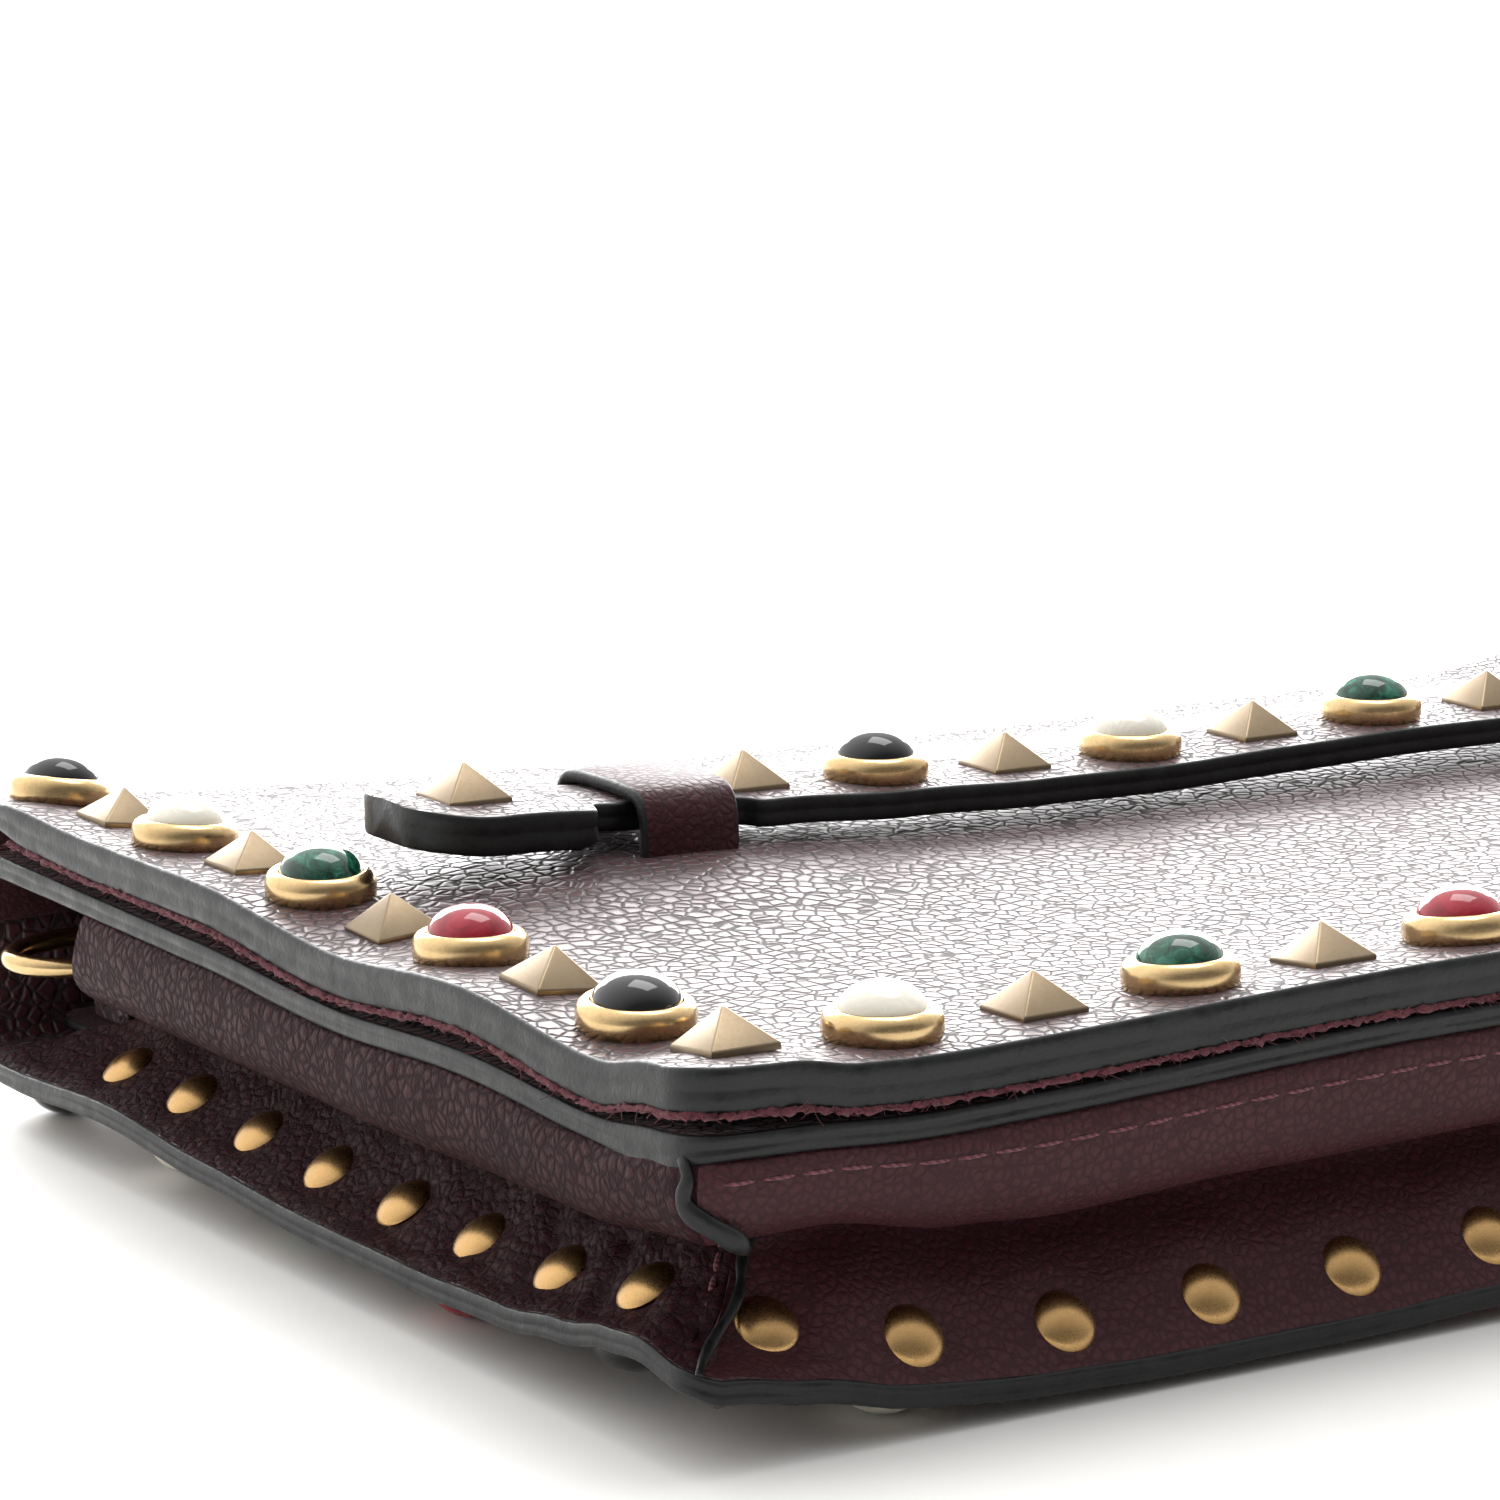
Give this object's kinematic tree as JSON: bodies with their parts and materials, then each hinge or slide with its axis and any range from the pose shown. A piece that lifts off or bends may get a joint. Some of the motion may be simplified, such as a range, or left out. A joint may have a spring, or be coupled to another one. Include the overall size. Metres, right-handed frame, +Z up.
{
  "type": "chain wallet",
  "caption": "Flat flap wallet of pebbled leather with painted edges, a border of pyramid studs and round stones, a studded hand strap, folded gussets and a ring for a chain at each side.",
  "frame": {"origin": "on the surface that the wallet rests on when it lies on its back, under the middle of its outline", "axes": "+X along the long edge, +Y towards the fold at the top of the wallet, +Z up, out of the front flap"},
  "size_m": [0.196, 0.124, 0.0351],
  "materials": {
    "grained_leather": "pebbled burgundy calf leather with a soft sheen and black painted cut edges",
    "lining_leather": "smooth matt burgundy lining leather",
    "edge_paint": "black satin edge paint on the cut leather of the corner seams",
    "stud_metal": "pale brushed antique gold",
    "rivet_metal": "darker antique brass, domed and worn",
    "hardware_metal": "polished antique brass",
    "snap_metal": "plain satin steel",
    "stone_black": "polished opaque black cabochon",
    "stone_white": "polished ivory white cabochon",
    "stone_green": "polished green cabochon with dark mottling",
    "stone_ruby": "polished ruby red cabochon"
  },
  "bodies": {
    "shell": {"back_lining": "lining_leather", "back_panel": "grained_leather", "back_studs_bottom": "stud_metal", "back_studs_left": "stud_metal", "back_studs_right": "stud_metal", "card_slot_1": "lining_leather", "card_slot_2": "lining_leather", "card_slot_3": "lining_leather", "corner_seam_left": "edge_paint", "corner_seam_right": "edge_paint", "front_lining": "lining_leather", "front_panel": "grained_leather", "gusset_bottom": "grained_leather", "gusset_left": "grained_leather", "gusset_right": "grained_leather", "gusset_rivets_bottom": "rivet_metal", "gusset_rivets_left": "rivet_metal", "gusset_rivets_right": "rivet_metal", "ring_loop_left": "grained_leather", "ring_loop_right": "grained_leather", "snap_socket": "snap_metal", "zip_pocket": "lining_leather", "zip_teeth": "hardware_metal"},
    "spine": {"spine": "grained_leather"},
    "flap": {"flap_lining": "lining_leather", "flap_outer": "grained_leather", "flap_studs_bottom": "stud_metal", "flap_studs_left": "stud_metal", "flap_studs_right": "stud_metal", "keeper_left": "grained_leather", "keeper_right": "grained_leather", "snap_stud": "snap_metal", "stone_bottom_11_green": "stone_green", "stone_bottom_13_ruby": "stone_ruby", "stone_bottom_1_white": "stone_white", "stone_bottom_3_green": "stone_green", "stone_bottom_5_ruby": "stone_ruby", "stone_bottom_7_black": "stone_black", "stone_bottom_9_white": "stone_white", "stone_left_1_black": "stone_black", "stone_left_3_ruby": "stone_ruby", "stone_left_5_green": "stone_green", "stone_left_7_white": "stone_white", "stone_left_9_black": "stone_black", "stone_right_1_black": "stone_black", "stone_right_3_white": "stone_white", "stone_right_5_green": "stone_green", "stone_right_7_ruby": "stone_ruby", "stone_right_9_black": "stone_black"},
    "hand_strap": {"strap_lining": "grained_leather", "strap_stone_black": "stone_black", "strap_stone_green": "stone_green", "strap_stone_ruby": "stone_ruby", "strap_stone_white": "stone_white", "strap_studs": "stud_metal", "strap_top": "grained_leather"},
    "zip_slider": {"zip_pull": "grained_leather", "zip_slider": "hardware_metal"},
    "ring_left": {"ring_left": "hardware_metal"},
    "ring_right": {"ring_right": "hardware_metal"}
  },
  "joints": [
    {"name": "spine_fold", "type": "hinge", "parent": "shell", "child": "spine", "pos_m": [0, 0.0613, 0.0066], "axis": [-1, 0, 0], "range_deg": [0, 90]},
    {"name": "flap_fold", "type": "hinge", "parent": "spine", "child": "flap", "pos_m": [0, 0.0613, 0.0256], "axis": [-1, 0, 0], "range_deg": [0, 85]},
    {"name": "strap_slide", "type": "slide", "parent": "flap", "child": "hand_strap", "axis": [1, 0, 0], "range_m": [-0.0007, 0.0007]},
    {"name": "zip_slide", "type": "slide", "parent": "shell", "child": "zip_slider", "axis": [1, 0, 0], "range_m": [0, 0.136]},
    {"name": "ring_left_swing", "type": "hinge", "parent": "shell", "child": "ring_left", "pos_m": [-0.087, 0.051, 0.0146], "axis": [0, 1, 0], "range_deg": [-25, 30]},
    {"name": "ring_right_swing", "type": "hinge", "parent": "shell", "child": "ring_right", "pos_m": [0.087, 0.051, 0.0146], "axis": [0, -1, 0], "range_deg": [-25, 30]}
  ]
}
